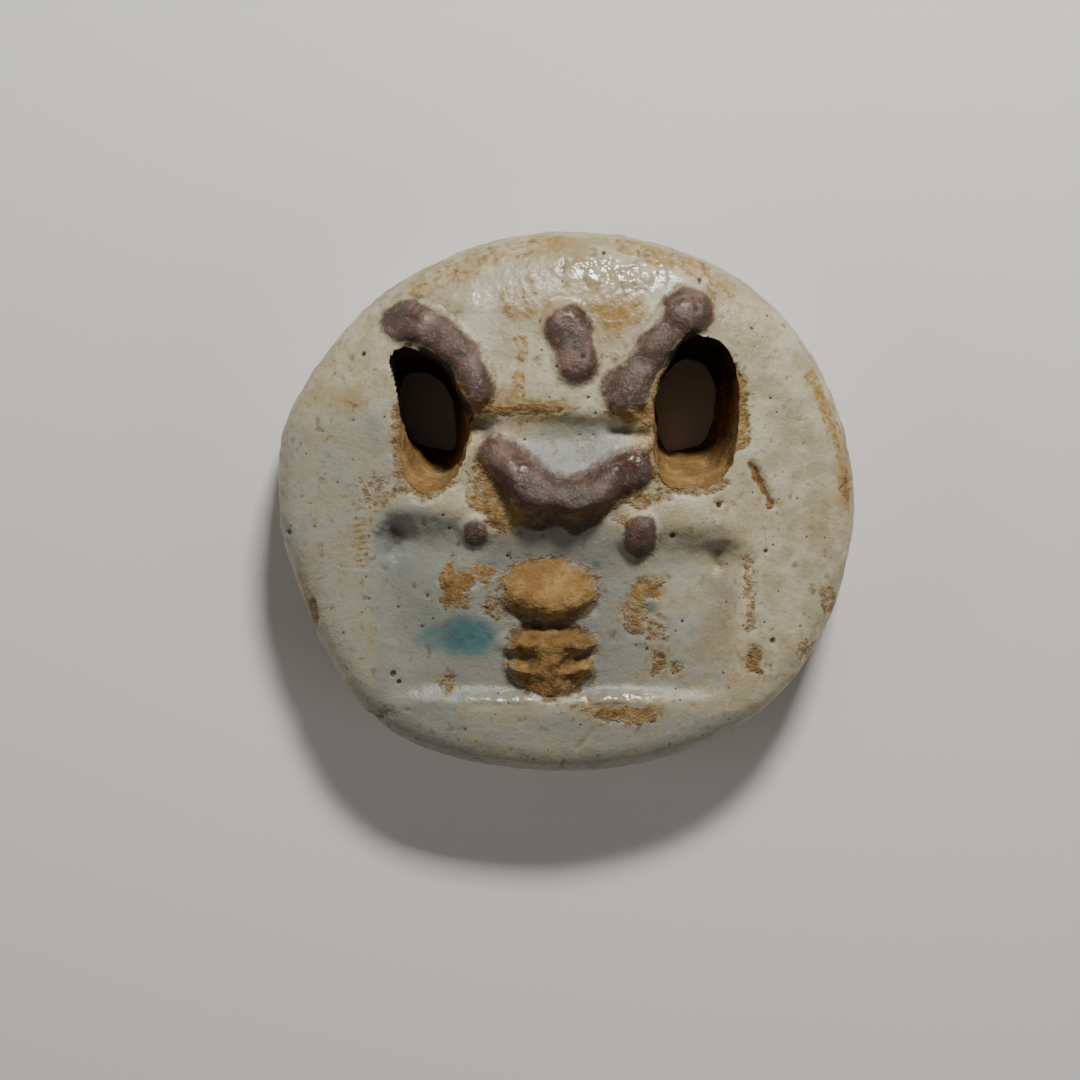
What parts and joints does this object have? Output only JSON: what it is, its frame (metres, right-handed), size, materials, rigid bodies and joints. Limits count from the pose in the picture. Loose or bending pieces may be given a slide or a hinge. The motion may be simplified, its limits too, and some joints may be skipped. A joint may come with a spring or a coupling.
{
  "type": "amulet",
  "caption": "Round moulded faience amulet with a grotesque deity mask: pierced eyes, dark painted brows and nose, lip and tongue in a sunk field, flat back.",
  "frame": {"origin": "middle of the footprint, on the surface that the flat back rests on", "axes": "+Z out of the face, +Y towards the brow and the top of the head, +X to the viewer's right; the amulet lies on its back"},
  "size_m": [0.0426, 0.04, 0.0131],
  "materials": {
    "weathered_glaze": "weathered glaze, worn to a sandy body"
  },
  "bodies": {
    "root": {"bes_amulet": "weathered_glaze"}
  },
  "joints": []
}
